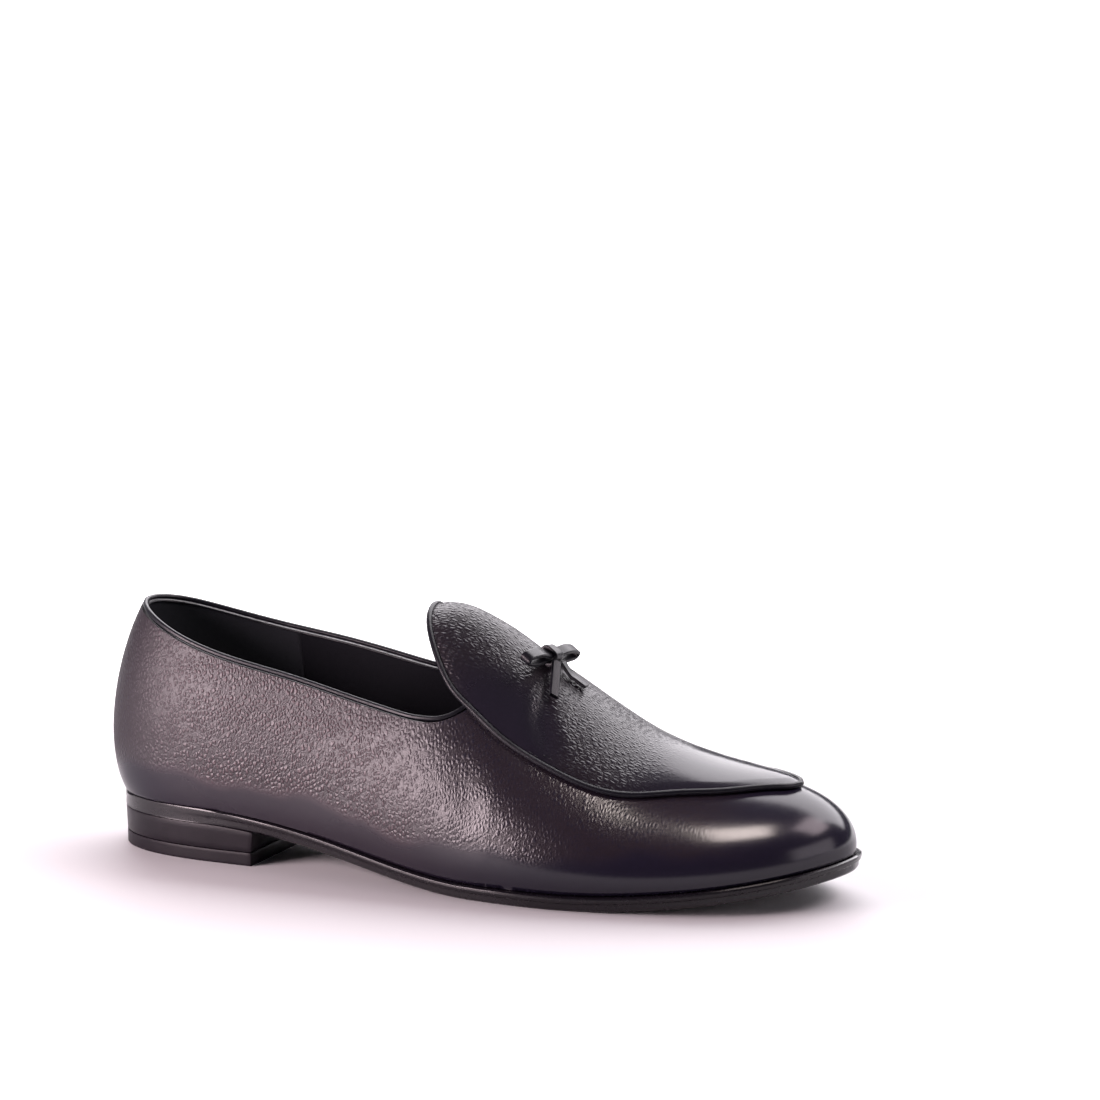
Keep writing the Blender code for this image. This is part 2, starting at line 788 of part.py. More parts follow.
def band(name, path, ahead, out, width, thick, collection):
    """A flat strip of leather that follows a path, its width along one direction."""
    path = np.asarray(path, float)
    half = np.asarray(ahead) * width / 2
    lift = np.asarray(out) * thick / 2
    rows = [path - half - lift, path + half - lift, path + half + lift, path - half + lift]
    rings = np.stack(rows, axis=1)
    points, faces = loft(list(rings), closed_around=True)
    last = (len(path) - 1) * 4
    faces.append((3, 2, 1, 0))
    faces.append((last, last + 1, last + 2, last + 3))
    return new_mesh_object(name, points, faces, collection)


def squared(wave, power):
    """A sine or cosine made fuller, as a round outline turns square."""
    return np.abs(wave) ** power * np.sign(wave)


def loop_path(turn, half_span, loop_height, waist_height, waist_span):
    """Across and out of the middle of the thong, at an angle round the two loops."""
    across = half_span * np.cos(turn)
    swell = smooth_step(np.abs(across), waist_span, half_span * LOOP_SWELL)
    height = waist_height + (loop_height - waist_height) * swell
    return across, squared(np.sin(turn), LOOP_BLUNT) * height / 2


def normals_in_plane(path):
    along = np.roll(path, -1, axis=0) - np.roll(path, 1, axis=0)
    return unit(np.stack([along[:, 1], -along[:, 0]], axis=1))


def build_bow(collection):
    """Open loops, the knot round their waist, and two tails that lie on the apron."""
    seat, across, forward, out = bow_frame()
    turn = np.linspace(0, 2 * np.pi, DENSE + 1)[:-1]
    flat = np.stack(
        loop_path(turn, BOW_HALF_SPAN, BOW_LOOP_HEIGHT, BOW_WAIST_HEIGHT, BOW_WAIST_SPAN), axis=1
    )
    flat = resample(flat, BOW_POINTS, closed=True)
    knot_half = BOW_WAIST_HEIGHT / 2 + THONG_THICK + KNOT_CLEAR
    middle = seat + out * (knot_half + THONG_THICK / 2 + GAP)
    thong(collection, "bow_loops", flat, middle, (across, forward, out), THONG_WIDTH)
    knot_across = THONG_WIDTH / 2 + THONG_THICK / 2 + KNOT_CLEAR
    flat = np.stack(
        [knot_across * squared(np.cos(turn), KNOT_SQUARE), knot_half * squared(np.sin(turn), KNOT_SQUARE)],
        axis=1,
    )
    flat = resample(flat, KNOT_POINTS, closed=True)
    thong(collection, "bow_knot", flat, middle, (forward, -across, out), KNOT_WIDTH)
    for tail in TAILS:
        build_tail(tail, middle, forward, across, out, collection)


def thong(collection, name, flat, middle, axes, width):
    """Closed band of leather: a flat path in the plane of the first and last axes."""
    first, wide, out = axes
    normal = normals_in_plane(flat)
    corners = []
    for reach, half in ((-0.5, -0.5), (-0.5, 0.5), (0.5, 0.5), (0.5, -0.5)):
        moved = flat + normal * THONG_THICK * reach
        place = middle + moved[:, :1] * first + moved[:, 1:] * out + wide * width * half
        corners.append(place)
    rings = np.stack(corners, axis=1)
    points, faces = loft(list(rings), closed_around=True, closed_along=True)
    return new_mesh_object(name, points, faces, collection)


def build_tail(tail, middle, forward, across, out, collection):
    """A short end of the thong, from beside the knot down on to the apron."""
    heading = np.radians(tail.heading)
    ahead = unit(forward * np.cos(heading) + across * np.sin(heading))
    wide = unit(np.cross(out, ahead))
    root = middle + forward * TAIL_ROOT + across * tail.across
    side = TAIL_WIDTH / 2
    path = []
    for step in np.linspace(0, 1, TAIL_STEPS + 1):
        place = root + ahead * TAIL_LENGTH * step
        corners = [place + wide * side, place - wide * side, place]
        floor = max(apron_top(corner[0], corner[1]) - corner[2] for corner in corners)
        rise = max(-TAIL_DROP * step, floor + GAP + THONG_THICK)
        path.append(place + np.array([0.0, 0.0, rise]))
    return band(tail.name, path, wide, out, TAIL_WIDTH, THONG_THICK, collection)


def finish_all(collection):
    """Smooth shading, finishes, and the whole shoe moved so that the floor under its middle is zero."""
    for finish in FINISHES:
        material = bpy.data.materials.new(finish.name)
        material.use_nodes = True
        shader = material.node_tree.nodes["Principled BSDF"]
        shader.inputs["Base Color"].default_value = (*finish.colour, 1.0)
        shader.inputs["Roughness"].default_value = finish.roughness
        shader.inputs["Metallic"].default_value = 0.0
        obj = collection.objects[finish.name]
        obj.data.materials.append(material)
        if obj.type == "MESH":
            obj.data.shade_smooth()
            obj.data.set_sharp_from_angle(angle=np.radians(SHARP_ANGLE))
    graph = bpy.context.evaluated_depsgraph_get()
    points = []
    for finish in FINISHES:
        shape = collection.objects[finish.name].evaluated_get(graph)
        points += [vert.co[:] for vert in shape.to_mesh().vertices]
        shape.to_mesh_clear()
    middle = (np.min(points, axis=0) + np.max(points, axis=0)) / 2
    shoe = bpy.data.objects.new("shoe", None)
    shoe.location = (-middle[0], -middle[1], 0.0)
    collection.objects.link(shoe)
    for finish in FINISHES:
        collection.objects[finish.name].parent = shoe


def main():
    for obj in list(bpy.data.objects):
        bpy.data.objects.remove(obj)
    collection = bpy.data.collections.new("belgian_loafer")
    bpy.context.scene.collection.children.link(collection)
    build_upper(collection)
    build_binding(collection)
    build_apron(collection)
    build_piping(collection)
    build_outsole(collection)
    build_insole(collection)
    build_heel(collection)
    build_bow(collection)
    finish_all(collection)


main()
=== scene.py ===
"""Finish of a right belgian loafer in black grained leather, built round its fixed solids.

The shoe stands on the floor with its toe towards +X and its outer side towards -Y.
All sizes are in metres.
"""

import math

import bmesh
import bpy
import numpy as np
from bpy.props import FloatProperty, FloatVectorProperty, IntProperty, PointerProperty
from mathutils import Matrix, Vector
from mathutils.bvhtree import BVHTree
from mathutils.kdtree import KDTree


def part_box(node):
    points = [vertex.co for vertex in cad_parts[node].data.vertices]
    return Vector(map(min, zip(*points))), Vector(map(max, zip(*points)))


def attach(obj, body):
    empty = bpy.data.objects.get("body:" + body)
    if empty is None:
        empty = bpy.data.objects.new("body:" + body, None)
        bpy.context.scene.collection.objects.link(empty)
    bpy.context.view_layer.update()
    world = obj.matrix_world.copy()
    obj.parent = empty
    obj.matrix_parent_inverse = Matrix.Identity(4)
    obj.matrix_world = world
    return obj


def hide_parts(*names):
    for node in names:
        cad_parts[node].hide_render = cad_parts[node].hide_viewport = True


bl_info = {
    "name": "Belgian loafer",
    "version": (1, 0, 0),
    "blender": (4, 5, 0),
    "location": "3D View > Sidebar > Loafer",
    "description": "Finishes the leather, trim, sole and bow of a grained loafer",
    "category": "Mesh",
}

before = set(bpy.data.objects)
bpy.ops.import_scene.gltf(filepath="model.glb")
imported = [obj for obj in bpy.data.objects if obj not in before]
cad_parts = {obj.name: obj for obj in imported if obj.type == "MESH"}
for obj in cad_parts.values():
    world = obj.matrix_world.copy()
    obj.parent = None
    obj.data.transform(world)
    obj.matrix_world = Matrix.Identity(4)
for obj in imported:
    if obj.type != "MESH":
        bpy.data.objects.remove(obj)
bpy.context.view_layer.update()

BODY = "root"
MM = 0.001
MERGE = 0.01 * MM
RIDGE_ANGLE = math.radians(40)
RING_GAP = 2.0 * MM
HOLD_STEPS = 4
CORD_HIDE = 0.5 * MM
ANY_ANGLE = math.pi
HEIGHT_GROUPS = 60
FINE_STEPS = 8
HEEL_MIDDLE = (-0.112, 0.0)
WELT_DROPS = (0.0, 0.5 * MM, 1.3 * MM, 2.3 * MM, 2.7 * MM, 4.9 * MM, 5.4 * MM)
WELT_REACH = (0.35 * MM, 1.1 * MM, 1.2 * MM, 0.9 * MM, 0.2 * MM, 0.0, -0.6 * MM)
SOLE_RIDGE = math.radians(20)
ROUND_SHADE = math.radians(70)
HEEL_TUCK = (-100 * MM, -66 * MM)
CREASE_STEPS = 40
CREASE_RIDGE = 0.35


class LoaferSizes(bpy.types.PropertyGroup):
    """Sizes of the finish that a user may change."""

    pebble: FloatProperty(
        name="Pebble", description="Width of one pebble of the grain", default=1.6 * MM, unit="LENGTH"
    )
    grain_depth: FloatProperty(
        name="Grain depth", description="Depth of the grain's valleys", default=0.20 * MM, unit="LENGTH"
    )
    stitch_length: FloatProperty(
        name="Stitch length", description="Length of one stitch", default=1.7 * MM, unit="LENGTH"
    )
    stitch_gap: FloatProperty(
        name="Stitch gap", description="Gap between two stitches", default=0.7 * MM, unit="LENGTH"
    )
    thread: FloatProperty(
        name="Thread", description="Thickness of the thread", default=0.42 * MM, unit="LENGTH"
    )
    fold_cord: FloatProperty(
        name="Fold", description="Thickness of the folded edge below the binding",
        default=0.9 * MM, unit="LENGTH",
    )
    edge_round: FloatProperty(
        name="Edge round", description="Rounding of the sole's and the heel's edges", default=0.2 * MM,
        unit="LENGTH",
    )


class LoaferColours(bpy.types.PropertyGroup):
    """Colours of the finish, linear."""

    quarter: FloatVectorProperty(
        name="Quarter", description="Dye of the quarters", default=(0.118, 0.080, 0.090), subtype="COLOR"
    )
    # Dark end of the upper's dark share: the darker vamp, and also painted shade at the heel's back.
    vamp: FloatVectorProperty(
        name="Vamp", description="Darker dye of the vamp", default=(0.011, 0.009, 0.019), subtype="COLOR"
    )
    # Darker tone of the cloudy mottling, and painted shade in the grain's valleys.
    mottle_and_valley_shade: FloatVectorProperty(
        name="Valley", description="Dye that gathers in the grain",
        default=(0.016, 0.011, 0.016), subtype="COLOR",
    )
    burnish: FloatVectorProperty(
        name="Burnish", description="Dark polish at toe, heel and sole",
        default=(0.009, 0.007, 0.016), subtype="COLOR",
    )
    apron: FloatVectorProperty(
        name="Apron", description="Dye of the apron", default=(0.017, 0.014, 0.024), subtype="COLOR"
    )
    trim: FloatVectorProperty(
        name="Trim", description="Dye of the piping, binding and bow",
        default=(0.008, 0.0075, 0.012), subtype="COLOR",
    )
    lining: FloatVectorProperty(
        name="Lining", description="Leather inside the shoe", default=(0.006, 0.006, 0.010), subtype="COLOR"
    )
    grip: FloatVectorProperty(
        name="Heel grip", description="Napped piece inside the heel",
        default=(0.012, 0.014, 0.020), subtype="COLOR",
    )
    sole: FloatVectorProperty(
        name="Sole", description="Ink of the sole's edge and underside",
        default=(0.008, 0.006, 0.009), subtype="COLOR",
    )
    heel: FloatVectorProperty(
        name="Heel", description="Ink of the stacked heel", default=(0.009, 0.006, 0.010), subtype="COLOR"
    )
    floor: FloatVectorProperty(
        name="Floor", description="Pale floor", default=(0.86, 0.85, 0.86), subtype="COLOR"
    )


class StudioSettings(bpy.types.PropertyGroup):
    """The camera that the shoe is seen through."""

    eye: FloatVectorProperty(
        name="Eye", description="Place of the camera",
        default=(0.7076, -1.5639, 0.4202), subtype="XYZ", unit="LENGTH",
    )
    heading: FloatProperty(
        name="Heading", description="Turn of the view to the left of +Y",
        default=math.radians(23.41), subtype="ANGLE",
    )
    dip: FloatProperty(
        name="Dip", description="How far the view looks down", default=math.radians(9.92), subtype="ANGLE"
    )
    lens: FloatProperty(
        name="Lens", description="Focal length on a 36 mm frame", default=154.8, min=1
    )
    level: IntProperty(
        name="Smoothing", description="Subdivision of the large leather pieces", default=2, min=1, max=3
    )


def sizes():
    return bpy.context.scene.loafer_sizes


def colours():
    return bpy.context.scene.loafer_colours


def studio():
    return bpy.context.scene.loafer_studio


# Pieces


def choose(obj):
    """Makes one object the only selected and active one."""
    bpy.ops.object.select_all(action="DESELECT")
    obj.select_set(True)
    bpy.context.view_layer.objects.active = obj


def add_object(name, mesh):
    obj = bpy.data.objects.new(name, mesh)
    bpy.context.scene.collection.objects.link(obj)
    choose(obj)
    return obj


def copy_of(node, name):
    """A closed, four-sided copy of a fixed solid's mesh, for the finished piece."""
    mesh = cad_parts[node].data.copy()
    mesh.materials.clear()
    obj = add_object(name, mesh)
    bpy.ops.object.mode_set(mode="EDIT")
    bpy.ops.mesh.select_all(action="SELECT")
    bpy.ops.mesh.remove_doubles(threshold=MERGE)
    bpy.ops.mesh.tris_convert_to_quads(face_threshold=ANY_ANGLE, shape_threshold=ANY_ANGLE)
    bpy.ops.object.mode_set(mode="OBJECT")
    mesh.name = name
    return obj


def apply_all(obj):
    choose(obj)
    for modifier in list(obj.modifiers):
        bpy.ops.object.modifier_apply(modifier=modifier.name)


def smooth(obj, levels, ridge=RIDGE_ANGLE):
    """Subdivides a piece so that its surface still runs through the solid's own corners."""
    crease_sharp_edges(obj, ridge)
    step = obj.modifiers.new("smooth", "SUBSURF")
    step.levels = levels
    step.render_levels = levels
    goal = points_of(obj.data)
    for _ in range(HOLD_STEPS):
        shown = obj.evaluated_get(bpy.context.evaluated_depsgraph_get())
        got = points_of(shown.to_mesh())[:len(goal)]
        shown.to_mesh_clear()
        set_points(obj.data, points_of(obj.data) + goal - got)
    apply_all(obj)


def crease_sharp_edges(obj, angle):
    """Keeps edges sharper than an angle crisp through subdivision."""
    mesh = obj.data
    bm = bmesh.new()
    bm.from_mesh(mesh)
    layer = bm.edges.layers.float.get("crease_edge") or bm.edges.layers.float.new("crease_edge")
    for edge in bm.edges:
        if len(edge.link_faces) == 2 and edge.calc_face_angle() > angle:
            edge[layer] = 1.0
    bm.to_mesh(mesh)
    bm.free()


def round_edges(obj, width, segments=2, angle=RIDGE_ANGLE):
    bevel = obj.modifiers.new("round", "BEVEL")
    bevel.width = width
    bevel.segments = segments
    bevel.limit_method = "ANGLE"
    bevel.angle_limit = angle
    apply_all(obj)


def shade(obj, angle=RIDGE_ANGLE):
    choose(obj)
    bpy.ops.object.shade_smooth_by_angle(angle=angle)


def finish_piece(obj, materials, nodes=()):
    """Gives a piece its materials and the fixed solids whose place it takes."""
    for material in materials:
        obj.data.materials.append(material)
    if nodes:
        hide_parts(*nodes)
    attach(obj, BODY)


def points_of(mesh):
    flat = np.zeros(len(mesh.vertices) * 3, np.float32)
    mesh.vertices.foreach_get("co", flat)
    return flat.reshape(-1, 3).astype(float)


def normals_of(mesh):
    flat = np.zeros(len(mesh.vertices) * 3, np.float32)
    mesh.vertices.foreach_get("normal", flat)
    return flat.reshape(-1, 3).astype(float)


def set_points(mesh, points):
    mesh.vertices.foreach_set("co", points.astype(np.float32).ravel())
    mesh.update()


def set_share(mesh, name, values):
    """A share from 0 to 1 on every point, which the materials read by name."""
    layer = mesh.attributes.get(name) or mesh.attributes.new(name, "FLOAT", "POINT")
    layer.data.foreach_set("value", np.clip(values, 0, 1).astype(np.float32))


def rise(value, low, high):
    """A soft step from 0 at low to 1 at high."""
    share = np.clip((np.asarray(value, float) - low) / (high - low), 0, 1)
    return share * share * (3 - 2 * share)


def sole_height(along):
    """Height of the sole's top edge at places along the shoe."""
    corners = points_of(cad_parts["outsole"].data)
    order = np.argsort(corners[:, 0])
    corners = corners[order]
    groups = np.array_split(corners, HEIGHT_GROUPS)
    places = [group[:, 0].mean() for group in groups]
    heights = [group[:, 2].max() for group in groups]
    return np.interp(along, places, heights)


def ring_path(node):
    """Middle line of a closed round cord, from its rings of corners."""
    bm = bmesh.new()
    bm.from_mesh(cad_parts[node].data)
    bmesh.ops.remove_doubles(bm, verts=bm.verts, dist=MERGE)
    bm.verts.ensure_lookup_table()
    ring_of = {}
    rings = []
    for start in bm.verts:
        if start.index in ring_of:
            continue
        ring = []
        waiting = [start]
        ring_of[start.index] = len(rings)
        while waiting:
            vert = waiting.pop()
            ring.append(vert)
            for edge in vert.link_edges:
                other = edge.other_vert(vert)
                if other.index not in ring_of and edge.calc_length() < RING_GAP:
                    ring_of[other.index] = len(rings)
                    waiting.append(other)
        rings.append(ring)
    middles = [sum((vert.co for vert in ring), Vector()) / len(ring) for ring in rings]
    beside = [set() for _ in rings]
    for edge in bm.edges:
        one, two = (ring_of[vert.index] for vert in edge.verts)
        if one != two:
            beside[one].add(two)
            beside[two].add(one)
    bm.free()
    path = [0]
    while True:
        following = [ring for ring in sorted(beside[path[-1]]) if ring not in path]
        if not following:
            break
        path.append(following[0])
    return np.array([middles[ring] for ring in path])


def even_steps(path, step):
    """Points a step apart along a closed line, smoothed by four-point curves."""
    size = len(path)
    shares = np.linspace(0, 1, FINE_STEPS + 1)[:-1]
    fine = []
    for i in range(size):
        a, b, c, d = (path[(i + k) % size] for k in (-1, 0, 1, 2))
        for t in shares:
            fine.append(
                0.5 * (2 * b + (c - a) * t + (2 * a - 5 * b + 4 * c - d) * t**2
                       + (3 * b - a - 3 * c + d) * t**3)
            )
    fine = np.array(fine + fine[:1])
    lengths = np.concatenate([[0], np.cumsum(np.linalg.norm(np.diff(fine, axis=0), axis=1))])
    count = int(round(lengths[-1] / step))
    places = np.linspace(0, lengths[-1], count + 1)[:-1]
    return np.stack([np.interp(places, lengths, fine[:, k]) for k in range(3)], axis=1)


def surface_tree(obj):
    """A tree of a piece's faces that finds the nearest place on it."""
    bm = bmesh.new()
    bm.from_mesh(obj.data)
    tree = BVHTree.FromBMesh(bm)
    bm.free()
    return tree


def beside_line(line, tree, side, away, lift):
    """Moves a closed line sideways over a surface and seats it on that surface.

    Returns the points, their outward directions and their tangents."""
    tangent = np.roll(line, -1, axis=0) - np.roll(line, 1, axis=0)
    tangent /= np.linalg.norm(tangent, axis=1, keepdims=True)
    points, outs, tangents = [], [], []
    for point, ahead in zip(line, tangent):
        place, normal, _, _ = tree.find_nearest(Vector(point))
        across = Vector(ahead).cross(normal).normalized() * side
        place, normal, _, _ = tree.find_nearest(Vector(point) + across * away)
        points.append(place + normal * lift)
        outs.append(normal)
        tangents.append(Vector(ahead))
    return points, outs, tangents


def build_stitches(name, line, tree, side, away, material):
    """A row of sunken stitches beside a line, as one mesh."""
    length = sizes().stitch_length
    thick = sizes().thread
    bpy.ops.object.select_all(action="DESELECT")
    bpy.ops.mesh.primitive_uv_sphere_add(segments=8, ring_count=6, radius=0.5)
    pattern = bpy.context.active_object
    form = pattern.data.copy()
    bpy.data.objects.remove(pattern)
    steps = even_steps(line, length + sizes().stitch_gap)
    points, outs, tangents = beside_line(steps, tree, side, away, thick * 0.12)
    bm = bmesh.new()
    for point, out, ahead in zip(points, outs, tangents):
        across = out.cross(ahead).normalized()
        ahead = across.cross(out).normalized()
        axes = Matrix((ahead * length, across * thick, out * thick)).transposed().to_4x4()
        axes.translation = point
        piece = form.copy()
        piece.transform(axes)
        bm.from_mesh(piece)
        bpy.data.meshes.remove(piece)
    bmesh.ops.recalc_face_normals(bm, faces=bm.faces)
    mesh = bpy.data.meshes.new(name)
    bm.to_mesh(mesh)
    bm.free()
    bpy.data.meshes.remove(form)
    obj = add_object(name, mesh)
    bpy.ops.object.shade_smooth()
    finish_piece(obj, [material])


def press_creases(obj, creases):
    """Presses soft troughs, with a low ridge on both sides, into a piece's outer face.

    A crease is a line of places in millimetres, its width and its depth."""
    points = points_of(obj.data)
    normals = normals_of(obj.data)
    tree = surface_tree(obj)
    push = np.zeros(len(points))
    for places, width, depth in creases:
        found = [tree.find_nearest(Vector(place) * MM) for place in places]
        line = np.array([hit[0][:] for hit in found])
        out = np.mean([hit[1][:] for hit in found], axis=0)
        steps = np.linspace(0, len(line) - 1, CREASE_STEPS)
        middle = np.stack([np.interp(steps, np.arange(len(line)), line[:, k]) for k in range(3)], axis=1)
        apart = np.linalg.norm(points[:, None] - middle[None], axis=2)
        along = apart.argmin(axis=1) / (CREASE_STEPS - 1)
        away = apart.min(axis=1) / width
        form = np.exp(-(away**2)) - CREASE_RIDGE * np.exp(-((away - 2) ** 2))
        push -= depth * np.sqrt(np.sin(np.pi * along).clip(0)) * form * (normals @ out > 0)
    set_points(obj.data, points + normals * push[:, None])


def sweep(name, points, radius):
    """A closed round cord through the given points, as a mesh."""
    data = bpy.data.curves.new(name, "CURVE")
    data.dimensions = "3D"
    data.bevel_depth = radius
    data.bevel_resolution = 2
    data.use_fill_caps = False
    line = data.splines.new("POLY")
    line.points.add(len(points) - 1)
    line.use_cyclic_u = True
    for control, place in zip(line.points, points):
        control.co = (*place, 1)
    obj = add_object(name, data)
    bpy.ops.object.convert(target="MESH")
    obj = bpy.context.active_object
    bpy.ops.object.mode_set(mode="EDIT")
    bpy.ops.mesh.select_all(action="SELECT")
    bpy.ops.mesh.remove_doubles(threshold=MERGE)
    bpy.ops.mesh.normals_make_consistent(inside=False)
    bpy.ops.object.mode_set(mode="OBJECT")
    bpy.ops.object.shade_smooth()
    return obj


# Materials

CELL_RANDOMNESS = 0.8
DRIFT_SCALE = 150.0
DRIFT = 1.1 * MM
PEBBLE_EDGE = 0.46
FINE_GRAIN = 2.3
FINE_EDGE = 0.3
FINE_SHARE = 0.1
GLOSS_FLAT = 0.88
POLISHED_GRAIN = 0.03
DARK_FLAT = 0.4
PORE_SCALE = 2600.0
PORE_DEPTH = 0.012 * MM
CLOUD_SCALE = 22.0
CLOUD_SHARE = 0.3
BURNISH_SHARE = 0.9
WEAR_SCALE = 700.0
WEAR = 0.08
GLOSSY = 0.16
DULLED = 0.30
GRIP_END = -84.2 * MM


class Recipe:
    """A material and short ways to add nodes to it."""

    def __init__(self, name):
        self.material = bpy.data.materials.new(name)
        self.material.use_nodes = True
        self.tree = self.material.node_tree
        self.shader = self.tree.nodes["Principled BSDF"]

    def put(self, socket, value):
        if isinstance(value, bpy.types.NodeSocket):
            self.tree.links.new(value, socket)
        else:
            socket.default_value = value

    def node(self, kind, inputs=None, **settings):
        made = self.tree.nodes.new(kind)
        for key, value in settings.items():
            setattr(made, key, value)
        for key, value in (inputs or {}).items():
            self.put(made.inputs[key], value)
        return made

    def math(self, operation, first, second=0.0):
        return self.node("ShaderNodeMath", {0: first, 1: second}, operation=operation).outputs[0]

    def vector(self, operation, first, second):
        return self.node("ShaderNodeVectorMath", {0: first, 1: second}, operation=operation).outputs[0]

    def between(self, value, low, high, start=0.0, end=1.0):
        """A soft step of a value from low to high."""
        inputs = {"Value": value, "From Min": low, "From Max": high, "To Min": start, "To Max": end}
        return self.node("ShaderNodeMapRange", inputs, interpolation_type="SMOOTHSTEP").outputs[0]

    def mix(self, share, low, high):
        return self.node("ShaderNodeMix", {0: share, 6: low, 7: high}, data_type="RGBA").outputs[2]

    def noise(self, place, scale, detail=2.0, roughness=0.5):
        inputs = {"Vector": place, "Scale": scale, "Detail": detail, "Roughness": roughness}
        return self.node("ShaderNodeTexNoise", inputs)

    def cells(self, place, scale):
        """Distance to the edge of the nearest cell."""
        inputs = {"Vector": place, "Scale": scale, "Randomness": CELL_RANDOMNESS}
        return self.node("ShaderNodeTexVoronoi", inputs, feature="DISTANCE_TO_EDGE").outputs["Distance"]

    def place(self):
        return self.node("ShaderNodeTexCoord").outputs["Object"]

    def stretched(self, place, scale, turn=(0, 0, 0)):
        return self.node("ShaderNodeMapping", {"Vector": place, "Scale": scale, "Rotation": turn}).outputs[0]

    def share(self, name):
        return self.node("ShaderNodeAttribute", attribute_name=name).outputs["Fac"]

    def bump(self, height):
        """Height is in metres."""
        inputs = {"Height": height, "Distance": 1.0, "Strength": 1.0}
        return self.node("ShaderNodeBump", inputs).outputs[0]

    def set(self, **values):
        for key, value in values.items():
            self.put(self.shader.inputs[key.replace("_", " ")], value)


def rgba(colour):
    return (*colour, 1.0)


def grained_leather(name, dye, dark, mottle_and_valley_shade, burnish, stretch, turn, rough):
    """Pebbled leather, darker with one share (towards the vamp, and painted shade at the heel's back),
    smooth with "polish", bright with "gloss", and with painted shade in the grain's valleys.
    """
    r = Recipe(name)
    place = r.place()
    pebble = sizes().pebble
    depth = sizes().grain_depth
    drift = r.noise(place, DRIFT_SCALE, 2.0).outputs["Color"]
    drift = r.vector("SUBTRACT", drift, (0.5, 0.5, 0.5))
    drift = r.vector("SCALE", drift, (0, 0, 0))
    drift.node.inputs["Scale"].default_value = DRIFT
    moved = r.vector("ADD", place, drift)
    moved = r.stretched(moved, stretch, turn)
    coarse = r.between(r.cells(moved, 1 / pebble), 0.0, PEBBLE_EDGE)
    fine = r.between(r.cells(moved, FINE_GRAIN / pebble), 0.0, FINE_EDGE)
    polish = r.share("polish")
    grain = r.math("SUBTRACT", 1.0, polish)
    height = r.math("MULTIPLY", coarse, depth * (1 - FINE_SHARE))
    height = r.math("ADD", height, r.math("MULTIPLY", fine, depth * FINE_SHARE))
    gloss = r.share("gloss")
    flat = r.math("SUBTRACT", 1.0, r.math("MULTIPLY", r.math("POWER", gloss, 2.0), GLOSS_FLAT))
    level = r.math("ADD", r.math("MULTIPLY", grain, 1 - POLISHED_GRAIN), POLISHED_GRAIN)
    level = r.math("MULTIPLY", level, flat)
    vamp_dark_and_heel_shade = r.share("vamp_dark_and_heel_shade")
    level = r.math("MULTIPLY", level, r.math("SUBTRACT", 1.0, r.math("MULTIPLY", vamp_dark_and_heel_shade, DARK_FLAT)))
    height = r.math("MULTIPLY", height, level)
    pores = r.noise(place, PORE_SCALE, 3.0, 0.6).outputs[0]
    height = r.math("ADD", height, r.math("MULTIPLY", pores, PORE_DEPTH))
    normal = r.bump(height)
    cloud = r.between(r.noise(place, CLOUD_SCALE, 3.0).outputs[0], 0.3, 0.7)
    # Darker towards the vamp, and painted shade at the heel's back, from the upper's dark share.
    body = r.mix(vamp_dark_and_heel_shade, rgba(dye), rgba(dark))
    body = r.mix(r.math("MULTIPLY", cloud, CLOUD_SHARE), body, rgba(mottle_and_valley_shade))
    # Painted shade: the grain's valleys, where shade falls between the pebbles, take the darker colour.
    body = r.mix(r.math("MULTIPLY", r.math("SUBTRACT", 1.0, coarse), grain), body, rgba(mottle_and_valley_shade))
    body = r.mix(r.math("MULTIPLY", polish, BURNISH_SHARE), body, rgba(burnish))
    wear = r.math("MULTIPLY", r.noise(place, WEAR_SCALE, 2.0).outputs[0], WEAR)
    plain = r.math("SUBTRACT", 1.0, gloss)
    base = r.math("ADD", r.math("MULTIPLY", plain, rough - GLOSSY - WEAR / 2), GLOSSY)
    base = r.math("ADD", base, r.math("MULTIPLY", r.share("dull"), DULLED))
    r.set(Base_Color=body, Roughness=r.math("ADD", base, wear), Normal=normal, Coat_Normal=normal)
    r.set(Specular_IOR_Level=0.5, Coat_Weight=0.15, Coat_Roughness=0.16)
    return r.material


def smooth_leather(name, dye, rough, depth=0.02 * MM, scale=1400.0, coat=0.15):
    """Fine, nearly smooth leather of the trims, lining and sock."""
    r = Recipe(name)
    place = r.place()
    pores = r.between(r.cells(place, scale), 0.0, 0.4)
    creases = r.noise(place, 420.0, 3.0, 0.55).outputs[0]
    height = r.math("ADD", r.math("MULTIPLY", pores, depth), r.math("MULTIPLY", creases, depth * 2))
    cloud = r.noise(place, 60.0, 3.0).outputs[0]
    body = r.mix(cloud, rgba([c * 0.75 for c in dye]), rgba([c * 1.25 for c in dye]))
    wear = r.math("ADD", r.math("MULTIPLY", creases, 0.16), rough - 0.08)
    normal = r.bump(height)
    r.set(Base_Color=body, Roughness=wear, Normal=normal, Coat_Normal=normal)
    r.set(Coat_Weight=coat, Coat_Roughness=0.25, Specular_IOR_Level=0.35)
    return r.material


def edge_ink(name, dye, rough, coat):
    """Waxed ink over leather on the sole and heel, with fine lines along the layers."""
    r = Recipe(name)
    place = r.place()
    layers = r.noise(r.stretched(place, (0.12, 0.12, 6.0)), 480.0, 3.0, 0.6).outputs[0]
    dents = r.noise(place, 260.0, 4.0, 0.6).outputs[0]
    height = r.math("ADD", r.math("MULTIPLY", layers, 0.006 * MM), r.math("MULTIPLY", dents, 0.012 * MM))
    body = r.mix(dents, rgba([c * 0.7 for c in dye]), rgba([c * 1.35 for c in dye]))
    normal = r.bump(height)
    r.set(Base_Color=body, Roughness=r.math("ADD", r.math("MULTIPLY", dents, 0.18), rough - 0.09))
    r.set(Normal=normal, Coat_Weight=coat, Coat_Roughness=0.12, Specular_IOR_Level=0.3)
    return r.material


# Upper

